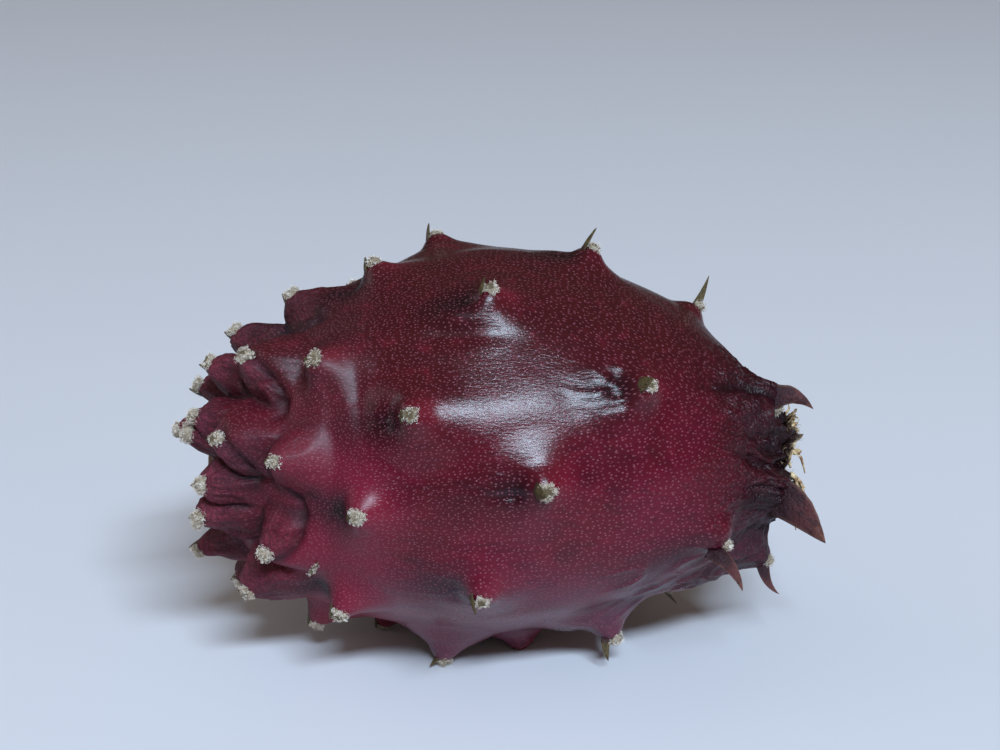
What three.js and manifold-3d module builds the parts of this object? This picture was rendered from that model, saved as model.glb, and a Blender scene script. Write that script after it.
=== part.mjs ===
// A dark red dragon fruit (pitaya), as picked, lying on its side.
// Millimetres, +Z up. +X runs along the fruit from the stem end to the flower end, and the
// fruit rests on the plane Z = 0. The rind is one closed surface: an egg-shaped body, with
// wart-like podaria raised from it in a golden-angle spiral. Each podarium carries one scale
// leaf and, on the scale's flower side, one cushion of pale wool (the areole).
import * as THREE from "three";
import { mergeVertices } from "three/addons/utils/BufferGeometryUtils.js";
import Module from "manifold-3d";

const wasm = await Module();
wasm.setup();

const DEG = Math.PI / 180;

// ---- driving dimensions -----------------------------------------------------------------
const GIRTH_RADIUS = 31.8; // at the widest place
const STEM_HALF = 44.7; // widest place to the stem end
const FLOWER_HALF = 49.9; // widest place to where the flower end's cone would close
const STEM_POWER = 1.85; // superellipse exponents: 2 is an ellipse, less is more pointed
const FLOWER_POWER = 1.66;
const AXIS_HEIGHT = 32.4; // of the fruit's axis over the ground at the widest place
const STEM_DROOP = 2.2; // how far each end of the axis hangs below that
const FLOWER_DROOP = 1.4;
const AXIS_BOW = 3.7; // and how far both bend to the front
const BOW_LENGTH = 47;
const BOX_CENTRE = { x: 0.88, y: -0.47 }; // middle of the finished fruit's box, moved to the origin

// The stem end is drawn in round the woody scar where the fruit was cut from its stem.
const STEM_HOLLOW = { depth: 2.4, polar: 19 * DEG };
const SCAR = { height: 1.5, top: 6.5 * DEG, foot: 9 * DEG };

// The flower end is cut off square and sunk into a pit, which holds the dried flower.
const RIM_X = 46;
const RIM_LIP = 0.9;
const RIM_ANGLE = Math.acos(-RIM_X / FLOWER_HALF);
const PIT_DEPTH = 4.6;
const PIT_WALL = 0.3; // share of the rim radius that the pit's wall takes
const PIT_FLOOR = 0.42; // and where its floor begins

// The podaria, counted from the stem end.
const PODARIA = 59;
const BELLY = 1.8; // how far the rind is drawn in underneath, between those that carry the fruit
const GOLDEN_ANGLE = 137.508;
const SPIRAL_START = { index: 50, turn: 43 };
const RIND_SEED = 7;
const SCALE_SIDES = 4;
const WOOL_RADIUS = 1.5;
const WOOL_HEIGHT = 0.9;
const WOOL_SIDES = 6;

// ---- small helpers ----------------------------------------------------------------------
const clamp = (v, low, high) => Math.min(high, Math.max(low, v));
const mix = (a, b, t) => a + (b - a) * t;
const step = (low, high, v) => {
  const t = clamp((v - low) / (high - low), 0, 1);
  return t * t * (3 - 2 * t);
};
// A fixed draw between -1 and 1 for podarium n; channel tells one draw from another.
const draw = (n, channel) => {
  const s = Math.sin(n * 12.9898 + channel * 78.233 + RIND_SEED) * 43758.5453;
  return 2 * (s - Math.floor(s)) - 1;
};

// ---- the body without its podaria -------------------------------------------------------
// polar runs from 0 at the stem end to PI at the flower end; turn is 0 towards -Y, PI / 2 up.
function profile(polar) {
  const c = Math.cos(polar);
  const half = c > 0 ? STEM_HALF : FLOWER_HALF;
  const power = c > 0 ? STEM_POWER : FLOWER_POWER;
  const radius = GIRTH_RADIUS * Math.max(0, 1 - Math.abs(c) ** power) ** (1 / power);
  const hollow = STEM_HOLLOW.depth * (1 - step(0, STEM_HOLLOW.polar, polar));
  const scar = SCAR.height * (1 - step(SCAR.top, SCAR.foot, polar));
  return { x: hollow - scar - half * c, radius };
}

const RIM_RADIUS = profile(RIM_ANGLE).radius;

// Past the rim the profile turns in: a rounded lip, the pit's wall and its floor.
function pitProfile(polar) {
  const t = (polar - RIM_ANGLE) / (Math.PI - RIM_ANGLE);
  const lip = RIM_LIP * Math.sin(Math.PI * clamp(t / PIT_WALL, 0, 1));
  const sink = PIT_DEPTH * step(0.08, PIT_FLOOR, t);
  return { x: RIM_X + lip - sink, radius: RIM_RADIUS * (1 - t) };
}

// A point at a radius and turn round the fruit's axis, which droops and bows to its ends.
function aroundAxis(x, radius, turn) {
  const bend = (x / BOW_LENGTH) ** 2;
  const droop = (x < 0 ? STEM_DROOP : FLOWER_DROOP) * bend;
  return new THREE.Vector3(
    x,
    -AXIS_BOW * bend - radius * Math.cos(turn),
    AXIS_HEIGHT - droop + radius * Math.sin(turn),
  );
}

function bodyPoint(polar, turn) {
  const { x, radius } = polar > RIM_ANGLE ? pitProfile(polar) : profile(polar);
  return aroundAxis(x, radius, turn);
}

// Unit vectors at a place on the body: along towards the flower, round, and out.
function frameAt(polar, turn) {
  const e = 1e-3;
  const along = bodyPoint(polar + e, turn).sub(bodyPoint(polar - e, turn)).normalize();
  const round = bodyPoint(polar, turn + e).sub(bodyPoint(polar, turn - e)).normalize();
  const out = new THREE.Vector3().crossVectors(along, round).normalize();
  return { along, round, out };
}

// ---- the podaria ------------------------------------------------------------------------
// Places where growth strayed from the spiral: degrees [polar, turn].
const STRAYED = {
  3: [0, 18], 6: [0, 18], 8: [0, -8], 11: [-2, 4], 13: [0, -12], 14: [0, 8], 16: [0, -9],
  18: [-2, -28], 21: [0, -10], 24: [-1, 1], 26: [0, -12], 32: [-1, 5], 34: [2, 4], 35: [3, -11],
  40: [0, 3], 42: [2, 1], 48: [1, -19], 50: [-3, -2], 52: [0, -12], 53: [-1, -6], 55: [3, -6], 56: [-7, -3],
  57: [-8, 0], 58: [-13, -30],
};
const RAISED = { 56: 1.6 }; // and ones that grew taller, in millimetres

function spiralPlace(n) {
  const turn = SPIRAL_START.turn - GOLDEN_ANGLE * (n - SPIRAL_START.index);
  let polar = 15.6 + 1.3 * n + 50.4 * (n / 53) ** 4.4;
  // The spiral's own pole sits a little off the body's, so the underside's run further on.
  polar += (1 - step(80, 102, polar)) * (4.5 - 5.5 * Math.sin(turn * DEG));
  const [dPolar, dTurn] = STRAYED[n] ?? [draw(n, 1), 1.5 * draw(n, 2)];
  return { polar: (polar + dPolar) * DEG, turn: (turn + dTurn) * DEG };
}

// Mean distance to the neighbours in the spiral, from the rind area that each has.
function spacing(polar, n) {
  const e = 1e-3;
  const perIndex = (1.3 + 4.18 * (n / 53) ** 3.4) * DEG;
  const stretch = bodyPoint(polar + e, 0).distanceTo(bodyPoint(polar - e, 0)) / (2 * e);
  return Math.sqrt(2 * Math.PI * profile(polar).radius * stretch * perIndex);
}

function belly(polar, turn) {
  const degrees = polar / DEG;
  const middle = step(45, 75, degrees) * (1 - step(112, 135, degrees));
  return BELLY * middle * step(0.3, 0.85, -Math.sin(turn));
}

function podarium(n) {
  const { polar, turn } = spiralPlace(n);
  const open = step(38, 60, polar / DEG); // 0 in the crowd at the stem end, 1 where they stand apart
  const late = step(112, 135, polar / DEG); // 1 round the flower end, where the scales are leaves
  return {
    n, polar, turn, open, late, ...frameAt(polar, turn),
    centre: bodyPoint(polar, turn),
    lean: -Math.cos(polar), // -1 towards the stem, 1 towards the flower
    width: Math.min(spacing(polar, n) * mix(0.62, 0.5, open), 9.5) * (1 + 0.08 * draw(n, 3)),
    height: mix(5.7, 2.2, open) * (1 - 0.45 * late) * (1 + 0.12 * draw(n, 4))
      + belly(polar, turn) + (RAISED[n] ?? 0),
    pointed: mix(1.3, 1.9, open),
    full: mix(1.8, 1.5, open),
    knob: 1.4 * open,
    dimple: 1.1 * open * (1 - late),
  };
}

const podaria = Array.from({ length: PODARIA }, (_, n) => podarium(n));

// How high podarium p lifts the rind at a point of the body: a slope that is steep on the side
// it leans to and long on the other, with a knob under the areole. In the crowd the podaria are
// pressed into four or five flat flanks.
function lift(p, point) {
  const d = point.clone().sub(p.centre);
  const along = d.dot(p.along);
  const round = d.dot(p.round);
  const lean = Math.abs(p.lean);
  const reach = along * p.lean > 0 ? 1 - 0.35 * lean : 1 + mix(0.32, 0.6, p.open) * lean;
  const corner = (2 * Math.PI) / (4 + (p.n % 2));
  const angle = (Math.atan2(round, along) + draw(p.n, 10)) / corner;
  const face = (angle - Math.floor(angle) - 0.5) * corner;
  const flat = mix(1, 1.08 * Math.cos(face), 0.75 * (1 - p.open));
  const across = Math.hypot(along / (p.width * reach), round / p.width) * flat;
  const away = Math.hypot(across, d.dot(p.out) / 14);
  const slope = p.height * (1 - Math.min(away, 1) ** p.full) ** p.pointed;
  return slope + p.knob * Math.exp(-((d.length() / 2.6) ** 3));
}

// The rind is drawn in just stemward of the scale on the podaria that stand apart.
function sink(p, point) {
  const d = point.clone().sub(p.centre).addScaledVector(p.along, 2.6);
  return p.dimple * Math.exp(-d.lengthSq() / (2 * 1.9 ** 2));
}

// Shrunken folds that run to the flower end.
function pleats(polar, turn) {
  const near = step(132 * DEG, RIM_ANGLE, polar) * (1 - step(RIM_ANGLE, RIM_ANGLE + 0.15, polar));
  return near * (0.5 * Math.sin(9 * turn + 0.8) + 0.35 * Math.sin(14 * turn + 2.1));
}

// The slight unevenness of a grown thing.
function swell(polar, turn) {
  const middle = Math.sin(polar) ** 2;
  return middle * (0.45 * Math.sin(2 * turn + 1.7 * polar) + 0.3 * Math.sin(3 * turn - 2.6 * polar + 1));
}

function rindPoint(polar, turn) {
  const point = bodyPoint(polar, turn);
  const { along, out } = frameAt(polar, turn);
  // Neighbours meet in a crease, so the highest one rules and the others only soften it.
  let sum = 0;
  let weights = 1e-9;
  let leaning = 0;
  let drawn = 0;
  for (const p of podaria) {
    if (point.distanceToSquared(p.centre) > 400) continue;
    drawn += sink(p, point);
    const h = lift(p, point);
    const weight = Math.exp(1.6 * h) - 1;
    sum += weight * h;
    leaning += weight * h * p.lean * mix(0.35, 0.3, p.open);
    weights += weight;
  }
  const folds = pleats(polar, turn) + swell(polar, turn) - belly(polar, turn);
  point.addScaledVector(out, sum / weights - drawn + folds);
  point.addScaledVector(along, leaning / weights);
  point.z = Math.max(point.z, 0); // the podaria that carry the fruit are pressed flat
  return point;
}

// ---- meshes -----------------------------------------------------------------------------
const RIND_DETAIL = 15;

// The sphere's grid is drawn closer towards both ends, where the detail is.
const evenOut = (polar) => polar - 0.13 * Math.sin(2 * polar);

function rindGeometry() {
  const sphere = new THREE.IcosahedronGeometry(1, RIND_DETAIL);
  sphere.deleteAttribute("normal");
  sphere.deleteAttribute("uv");
  const merged = mergeVertices(sphere);
  const place = merged.getAttribute("position");
  const v = new THREE.Vector3();
  for (let i = 0; i < place.count; i++) {
    v.fromBufferAttribute(place, i).normalize();
    const polar = Math.acos(clamp(-v.x, -1, 1));
    const turn = Math.atan2(v.z, -v.y);
    const p = rindPoint(evenOut(polar), turn);
    place.setXYZ(i, p.x, p.y, p.z);
  }
  return merged;
}

// A closed body of rings, each a list of points, capped flat at the first and drawn to a tip.
function ringSolid(rings, tip) {
  const sides = rings[0].length;
  const middle = rings[0].reduce((sum, p) => sum.add(p), new THREE.Vector3()).divideScalar(sides);
  const points = [...rings.flat(), middle, tip];
  const [first, last] = [points.length - 2, points.length - 1];
  const top = (rings.length - 1) * sides;
  const faces = [];
  for (let s = 0; s < sides; s++) {
    const t = (s + 1) % sides;
    faces.push(first, t, s);
    for (let a = s, b = t; a < top; a += sides, b += sides) {
      faces.push(a, b, b + sides, a, b + sides, a + sides);
    }
    faces.push(top + s, top + t, last);
  }
  return { points, faces };
}

// Round the flower end the scales have grown into leaves, and two underneath into spines. Each
// row has the root, bend and tip from the podarium's top, the way the width runs, and the width.
const LEAVES = {
  35: [[0, -0.6, 1], [-0.8, -1.2, 0.4], [-1.6, -1.6, -0.4], [1, 0, 0.3], 1.6],
  48: [[-1, -0.4, 0.8], [-1.2, -1.2, -1.4], [-0.6, -1.4, -3], [1, 0.2, 0], 1.7],
  52: [[-0.6, -0.4, -1.2], [1, 0.8, 1], [2.1, 1.6, 4.4], [0.8, 0.2, -0.3], 2],
  53: [[-2, 0.8, -2], [1.4, -2.4, -3], [2.4, -4.2, -6.4], [0.9, 0.1, 0.35], 4.8],
  54: [[-1.5, -1, 1], [2.2, 2.5, -0.6], [4, 4.5, -4.5], [0.5, -0.6, 0.4], 3.8],
  55: [[-1.4, 0.4, -1.4], [2.6, -0.6, 1], [5.6, -1.2, -2.4], [0.2, 0.3, 0.93], 4.4],
  56: [[-0.6, 0.4, 0.8], [-0.4, -1.4, -3.2], [2, -2.2, -4.4], [0.9, 0.2, 0.5], 2.6],
  57: [[-1.5, -1, 0], [3, 2.2, 1.4], [5.6, 4, 0.5], [0, -0.3, 0.95], 4],
  58: [[-2, 0.6, 0.2], [2, -2.2, -0.4], [5.1, -5.2, -5.2], [0.15, 0.1, 0.98], 8],
};

// The line down the middle of podarium p's scale leaf, which way its width runs, and how wide.
function scaleShape(p) {
  const top = rindPoint(p.polar, p.turn);
  const leaf = LEAVES[p.n];
  if (leaf) {
    const [root, bend, tip] = leaf.slice(0, 3).map((v) => new THREE.Vector3(...v).add(top));
    const side = new THREE.Vector3(...leaf[3]).normalize();
    return { curve: new THREE.QuadraticBezierCurve3(root, bend, tip), side, width: leaf[4] };
  }
  const way = p.out.clone().addScaledVector(p.along, mix(-0.25, 0.15, p.open)).normalize();
  const long = mix(0.8, 3.2, step(50, 105, p.polar / DEG)) * (1 + 0.15 * draw(p.n, 5));
  const root = top.clone().addScaledVector(p.along, -0.8).addScaledVector(way, -1.6);
  const bend = root.clone().addScaledVector(way, 0.9 + 0.6 * long);
  const tip = top.clone().addScaledVector(p.along, -0.5).addScaledVector(way, long);
  const curve = new THREE.QuadraticBezierCurve3(root, bend, tip);
  return { curve, side: p.round, width: mix(2, 3, p.open) };
}

function scaleSolid(p) {
  const { curve, side, width } = scaleShape(p);
  const thick = p.n > 52 ? 1.5 : 1.2;
  const stations = p.n > 52 ? [0, 0.3, 0.55, 0.8] : [0, 0.55];
  const rings = stations.map((t) => {
    const flat = curve.getTangent(t).cross(side).normalize();
    return Array.from({ length: SCALE_SIDES }, (_, k) => {
      const turn = (k / SCALE_SIDES) * 2 * Math.PI;
      return curve.getPoint(t)
        .addScaledVector(side, Math.cos(turn) * (width / 2) * (1 - t) ** 0.75)
        .addScaledVector(flat, Math.sin(turn) * (thick / 2) * (1 - t) ** 0.6);
    });
  });
  return ringSolid(rings, curve.getPoint(1));
}

// The areole's wool: a low cushion, wider than high.
function woolSolid(p) {
  const size = WOOL_RADIUS * (1 + 0.14 * draw(p.n, 6));
  const centre = rindPoint(p.polar, p.turn).addScaledVector(p.along, 0.7);
  const rings = [[-1.2, 0.9], [0.45, 1]].map(([up, wide]) =>
    Array.from({ length: WOOL_SIDES }, (_, k) => {
      const turn = (k / WOOL_SIDES) * 2 * Math.PI + p.n;
      return centre.clone()
        .addScaledVector(p.out, up)
        .addScaledVector(p.along, Math.cos(turn) * wide * size)
        .addScaledVector(p.round, Math.sin(turn) * wide * size);
    }));
  return ringSolid(rings, centre.clone().addScaledVector(p.out, WOOL_HEIGHT));
}

// The dried flower's base: a ragged, dished plug that stands in the pit and flares over it.
const REMNANT_SIDES = 20;
const REMNANT_RINGS = [ // [x, radius, raggedness]
  [RIM_X - PIT_DEPTH + 0.9, 3.6, 0],
  [RIM_X - 1.2, 4.1, 0.1],
  [RIM_X + 1.5, 4.9, 0.3],
  [RIM_X + 2.6, 7.2, 0.6],
  [RIM_X + 4, 7.9, 1],
  [RIM_X + 3.2, 5.6, 0.8],
  [RIM_X + 1.9, 2.6, 0.3],
];

function remnantSolid() {
  const rings = REMNANT_RINGS.map(([x, radius, ragged]) =>
    Array.from({ length: REMNANT_SIDES }, (_, k) => {
      const turn = (k / REMNANT_SIDES) * 2 * Math.PI;
      const torn = 0.6 * draw(k, 8) + 0.4 * Math.sin(3 * turn + 1);
      return aroundAxis(x + 0.6 * ragged * draw(k, 9), radius + 0.8 * ragged * torn, turn);
    }));
  return ringSolid(rings, aroundAxis(RIM_X + 1.4, 0, 0));
}

// ---- joining ----------------------------------------------------------------------------
function solid({ points, faces }) {
  const made = new wasm.Manifold(new wasm.Mesh({
    numProp: 3,
    vertProperties: new Float32Array(points.flatMap((p) => [p.x, p.y, p.z])),
    triVerts: new Uint32Array(faces),
  }));
  return made.volume() < 0 ? solid({ points, faces: faces.slice().reverse() }) : made;
}

function solidOfGeometry(geometry) {
  const place = geometry.getAttribute("position");
  const points = Array.from({ length: place.count }, (_, i) =>
    new THREE.Vector3().fromBufferAttribute(place, i));
  return solid({ points, faces: Array.from(geometry.index.array) });
}

function geometryOf(made) {
  const { numProp, numVert, vertProperties, triVerts } = made.getMesh();
  const place = new Float32Array(numVert * 3);
  for (let i = 0; i < numVert; i++)
    place.set(vertProperties.subarray(i * numProp, i * numProp + 3), i * 3);
  const geometry = new THREE.BufferGeometry();
  geometry.setAttribute("position", new THREE.BufferAttribute(place, 3));
  geometry.setIndex(new THREE.BufferAttribute(new Uint32Array(triVerts), 1));
  geometry.computeVertexNormals();
  return geometry;
}

function named(name, made, color, roughness) {
  const material = new THREE.MeshStandardMaterial({ color, roughness, metalness: 0 });
  const mesh = new THREE.Mesh(geometryOf(made), material);
  mesh.name = name;
  return mesh;
}

const ground = new THREE.BoxGeometry(300, 300, 40).translate(0, 0, -20);
ground.deleteAttribute("normal");
ground.deleteAttribute("uv");

let fruit = solidOfGeometry(rindGeometry());
for (const p of podaria) fruit = fruit.add(solid(scaleSolid(p))).add(solid(woolSolid(p)));
fruit = fruit.subtract(solidOfGeometry(mergeVertices(ground)));

const part = new THREE.Group();
part.add(named("fruit", fruit, 0x5a1426, 0.4));
part.add(named("flower_remnant", solid(remnantSolid()), 0xa98a5b, 0.9));
part.position.set(-BOX_CENTRE.x, -BOX_CENTRE.y, 0);

export default part;
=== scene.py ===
"""A dragon fruit on its side: the fine rind, scale leaves, wool and dried flower over the solids.

Growth is worked out in millimetres with the solids' own rules, and meshes are made in metres.
A place on the rind has a polar angle, from 0 at the stem end to pi at the flower end, and a turn
round the axis, from 0 in front up over the top.
"""
import math

import bmesh
import bpy
import numpy as np
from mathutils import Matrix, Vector


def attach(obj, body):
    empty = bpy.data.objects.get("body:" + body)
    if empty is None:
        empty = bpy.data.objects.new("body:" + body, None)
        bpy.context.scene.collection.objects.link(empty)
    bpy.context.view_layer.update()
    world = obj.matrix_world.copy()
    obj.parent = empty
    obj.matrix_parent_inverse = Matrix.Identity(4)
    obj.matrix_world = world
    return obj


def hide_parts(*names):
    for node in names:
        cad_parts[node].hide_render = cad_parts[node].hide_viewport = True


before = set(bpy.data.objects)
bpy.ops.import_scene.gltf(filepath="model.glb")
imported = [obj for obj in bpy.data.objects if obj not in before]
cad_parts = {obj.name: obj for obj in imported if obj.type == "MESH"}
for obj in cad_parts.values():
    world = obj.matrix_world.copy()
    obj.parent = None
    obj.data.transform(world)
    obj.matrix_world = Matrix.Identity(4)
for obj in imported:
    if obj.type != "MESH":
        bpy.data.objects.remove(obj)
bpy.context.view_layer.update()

MM = 0.001
DEG = math.pi / 180

# ---- the fruit's measures, as in the solids ----------------------------------------------
GIRTH_RADIUS = 31.8
STEM_HALF, FLOWER_HALF = 44.7, 49.9  # from the widest place to each end
STEM_POWER, FLOWER_POWER = 1.85, 1.66  # of the superellipse that each half follows
AXIS_HEIGHT, STEM_DROOP, FLOWER_DROOP = 32.4, 2.2, 1.4
AXIS_BOW, BOW_LENGTH = 3.7, 47
BOX_CENTRE = np.array([0.88, -0.47, 0])  # middle of the fruit's box, moved to the origin
HOLLOW_DEPTH, HOLLOW_POLAR = 2.4, 19 * DEG
SCAR_HEIGHT, SCAR_TOP, SCAR_FOOT = 1.5, 6.5 * DEG, 9 * DEG
RIM_X, RIM_LIP, PIT_DEPTH, PIT_WALL, PIT_FLOOR = 46, 0.9, 4.6, 0.3, 0.42
RIM_ANGLE = math.acos(-RIM_X / FLOWER_HALF)
BELLY = 1.8  # how far the rind is drawn in underneath

# Podaria are counted along the spiral from the stem end.
PODARIA, GOLDEN_ANGLE, FIRST_INDEX, FIRST_TURN = 59, 137.508, 50, 43
WIDEST, KNOB_RADIUS, RIND_SEED = 9.5, 2.6, 7
STRAYED = {  # where growth strayed from the spiral, in degrees of polar angle and turn
    3: (0, 18), 6: (0, 18), 8: (0, -8), 11: (-2, 4), 13: (0, -12), 14: (0, 8), 16: (0, -9),
    18: (-2, -28), 21: (0, -10), 24: (-1, 1), 26: (0, -12), 32: (-1, 5), 34: (2, 4), 35: (3, -11),
    40: (0, 3), 42: (2, 1), 48: (1, -19), 50: (-3, -2), 52: (0, -12), 53: (-1, -6), 55: (3, -6),
    56: (-7, -3), 57: (-8, 0), 58: (-13, -30),
}
RAISED = {56: 1.6}  # those that grew taller
LEAVES = {  # root, bend and tip from the podarium's top, the way its width runs, and the width
    35: ((0, -0.6, 1), (-0.8, -1.2, 0.4), (-1.6, -1.6, -0.4), (1, 0, 0.3), 1.6),
    48: ((-1, -0.4, 0.8), (-1.2, -1.2, -1.4), (-0.6, -1.4, -3), (1, 0.2, 0), 1.7),
    52: ((-0.6, -0.4, -1.2), (1, 0.8, 1), (2.1, 1.6, 4.4), (0.8, 0.2, -0.3), 2),
    53: ((-2, 0.8, -2), (1.4, -2.4, -3), (2.4, -4.2, -6.4), (0.9, 0.1, 0.35), 4.8),
    54: ((-1.5, -1, 1), (2.2, 2.5, -0.6), (4, 4.5, -4.5), (0.5, -0.6, 0.4), 3.8),
    55: ((-1.4, 0.4, -1.4), (2.6, -0.6, 1), (5.6, -1.2, -2.4), (0.2, 0.3, 0.93), 4.4),
    56: ((-0.6, 0.4, 0.8), (-0.4, -1.4, -3.2), (2, -2.2, -4.4), (0.9, 0.2, 0.5), 2.6),
    57: ((-1.5, -1, 0), (3, 2.2, 1.4), (5.6, 4, 0.5), (0, -0.3, 0.95), 4),
    58: ((-2, 0.6, 0.2), (2, -2.2, -0.4), (5.1, -5.2, -5.2), (0.15, 0.1, 0.98), 8),
}

# ---- what only the fine rind, the scales and the wool have --------------------------------
LEAFY_FROM = 53  # the first podarium whose scale is a reddish leaf
FOLDED_FROM = 55  # the first at the flower end with folded flanks
WOOL_SPLIT = 27  # the first whose wool is in the second pair of wool pieces
UNSHADED = 29  # the one with no painted shade behind its scale
CRUMPLED = {16: 1, 19: 0.85, 21: 0.95, 24: 0.45, 26: 0.85, 29: 0}  # how shrunken, 0 to 1
LUMPS = {  # where the crumpled lump ends: its middle along and round, and its half sizes
    16: (-1, -3, 3, 5), 19: (-1.4, 3.6, 5.7, 5.8), 21: (-1.3, -4, 3.7, 5.4),
}
BULGES = {  # height, place along and round, and size along and round
    29: ((0.9, -1, -4, 4.2, 5.2), (-0.6, 4.8, -4.4, 1.5, 6)),
    42: ((0.75, -4.6, -2.8, 4, 1.7), (-0.6, -3.6, -6, 7, 1.7)),
}
FANNED = {50: 0.8, 45: 0.7, 37: 0.5, 29: 0.25, 32: 0.4}  # depth of the wrinkles by the scale
USUAL_FAN = 0.6  # on the others that stand apart
GROOVES = (  # turn, and the polar angle where each long fold at the flower end starts, in degrees
    (60, 127), (40, 141), (20, 135), (-5, 134), (-30, 129), (95, 134), (130, 138), (165, 131),
    (205, 137), (245, 133), (290, 131),
)
GROOVE_HALF = 0.075  # radians of turn
FULLNESS = {53: 1.3, 56: 0.9, 58: 2.2}  # a leaf keeps its width further out where this is high
NARROWED = {53: 0.62, 58: 0.82}  # share of a leaf's width that is kept
LEAF_GRID, SCALE_GRID = (22, 20), (9, 12)  # stations along a blade, and sides round it
WOOL_SHIFT = {53: (0.6, -1.3), 55: (2.4, 0)}  # from the top: along, and round
WORN = {24: 0.35, 29: 0.6, 37: 0.5, 42: 0.2}  # share of the wool that is lost
LOOSE_WOOL = (55.2 * DEG, -22 * DEG)  # polar angle and turn of a strip that clings to the rind
WOOL_DENSITY, STRAW_DENSITY = 14.4e6, 1e6  # curls to a square metre
PRESS_HEIGHT = 0.6  # blades and pads are pressed together below this, to stay over the floor
FLOOR_GAP = 0.04  # the lowest that a curl of wool reaches


# ---- numbers -----------------------------------------------------------------------------
HASH_WAVES, HASH_SEED, HASH_SIZE = np.array([127.1, 311.7, 74.7]), 17.13, 43758.5453


def mix(a, b, t):
    return a + (b - a) * t


def step(low, high, v):
    """0 at low to 1 at high, smoothly; low may be the greater."""
    t = np.clip((v - low) / (high - low), 0, 1)
    return t * t * (3 - 2 * t)


def draw(n, channel):
    """A fixed draw between -1 and 1 for podarium n; channel tells one draw from another."""
    s = np.sin(n * 12.9898 + channel * 78.233 + RIND_SEED) * HASH_SIZE
    return 2 * (s - np.floor(s)) - 1


def dot(a, b):
    return (a * b).sum(-1)


def unit(v):
    return v / np.maximum(np.linalg.norm(v, axis=-1, keepdims=True), 1e-9)


def hashed(cells, seed):
    """A fixed number between 0 and 1 for each whole-numbered cell."""
    s = np.sin(cells @ HASH_WAVES + seed * HASH_SEED) * HASH_SIZE
    return s - np.floor(s)


def noise(points, size, seed=0):
    """Smooth noise between -1 and 1, with lumps about size millimetres across."""
    p = points / size
    low = np.floor(p)
    f = p - low
    f = f * f * f * (f * (f * 6 - 15) + 10)
    total = 0
    for corner in np.ndindex(2, 2, 2):
        c = np.array(corner)
        weight = np.prod(np.where(c, f, 1 - f), axis=-1)
        total = total + weight * hashed(low + c, seed)
    return 2 * total - 1


def ridges(points, size, seed=0):
    """Sharp-crested noise from 0 in the valleys to 1 on the crests."""
    return 1 - np.minimum(1, 2.4 * np.abs(noise(points, size, seed))) ** 0.8


# ---- the body and its podaria ------------------------------------------------------------
def profile(polar):
    """Distance along the axis and radius of the body, as far as the rim of the pit."""
    c = np.cos(polar)
    half = np.where(c > 0, STEM_HALF, FLOWER_HALF)
    power = np.where(c > 0, STEM_POWER, FLOWER_POWER)
    radius = GIRTH_RADIUS * np.maximum(0, 1 - np.abs(c) ** power) ** (1 / power)
    hollow = HOLLOW_DEPTH * (1 - step(0, HOLLOW_POLAR, polar))
    scar = SCAR_HEIGHT * (1 - step(SCAR_TOP, SCAR_FOOT, polar))
    return hollow - scar - half * c, radius


RIM_RADIUS = float(profile(RIM_ANGLE)[1])


def around_axis(x, radius, turn):
    """A point at a radius and turn round the axis, which droops and bows to its ends."""
    bend = (x / BOW_LENGTH) ** 2
    droop = np.where(x < 0, STEM_DROOP, FLOWER_DROOP) * bend
    y = -AXIS_BOW * bend - radius * np.cos(turn)
    z = AXIS_HEIGHT - droop + radius * np.sin(turn)
    return np.stack(np.broadcast_arrays(x, y, z), -1)


def body_point(polar, turn):
    """A point of the body, or of the pit past its rim."""
    polar, turn = np.asarray(polar, float), np.asarray(turn, float)
    x, radius = profile(polar)
    t = (polar - RIM_ANGLE) / (math.pi - RIM_ANGLE)
    lip = RIM_LIP * np.sin(math.pi * np.clip(t / PIT_WALL, 0, 1))
    sunk = PIT_DEPTH * step(0.08, PIT_FLOOR, t)
    past = polar > RIM_ANGLE
    x = np.where(past, RIM_X + lip - sunk, x)
    radius = np.where(past, RIM_RADIUS * (1 - t), radius)
    return around_axis(x, radius, turn)


def frame_at(polar, turn):
    """Unit vectors: along towards the flower, round, and out."""
    e = 1e-3
    along = unit(body_point(polar + e, turn) - body_point(polar - e, turn))
    round_ = unit(body_point(polar, turn + e) - body_point(polar, turn - e))
    return along, round_, unit(np.cross(along, round_))


def belly(polar, turn):
    """How far the rind is drawn in underneath, between the podaria that carry the fruit."""
    ends = step(45 * DEG, 75 * DEG, polar) * (1 - step(112 * DEG, 135 * DEG, polar))
    return BELLY * ends * step(0.3, 0.85, -np.sin(turn))


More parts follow.
